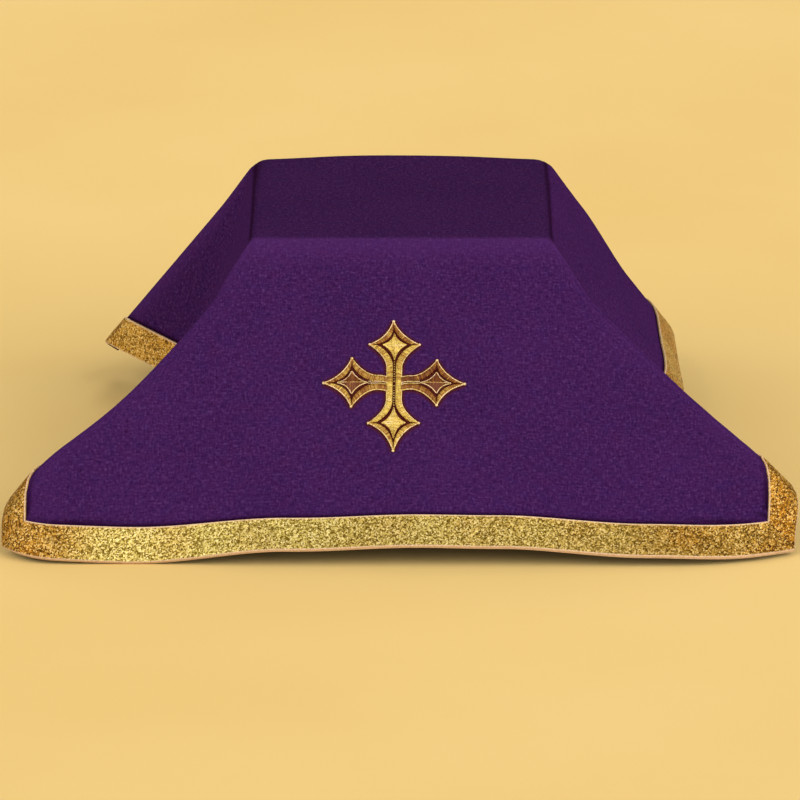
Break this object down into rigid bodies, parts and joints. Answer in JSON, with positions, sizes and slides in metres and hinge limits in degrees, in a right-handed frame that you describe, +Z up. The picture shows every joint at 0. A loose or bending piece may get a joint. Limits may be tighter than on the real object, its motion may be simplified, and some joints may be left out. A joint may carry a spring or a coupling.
{
  "type": "chalice veil",
  "caption": "Square purple liturgical cloth with gold braid on every edge and an embroidered gold cross, draped with folded corners from a flat square top.",
  "frame": {"origin": "middle of the underside of the veil's flat square top, where it lies on the covered chalice", "axes": "+Z up, -Y towards the front that carries the cross, +X to the right seen from the front"},
  "size_m": [0.4854, 0.428, 0.1677],
  "materials": {
    "cloth": "fine wool weave, matt, slightly fuzzy",
    "braid": "metallic gold galloon, close pebbled weave with glitter",
    "embroidery": "gold rayon satin stitch over padding"
  },
  "bodies": {
    "root": {"cloth": "cloth", "braid_front": "braid", "braid_right": "braid", "braid_back": "braid", "braid_left": "braid", "cross": "embroidery"}
  },
  "joints": []
}
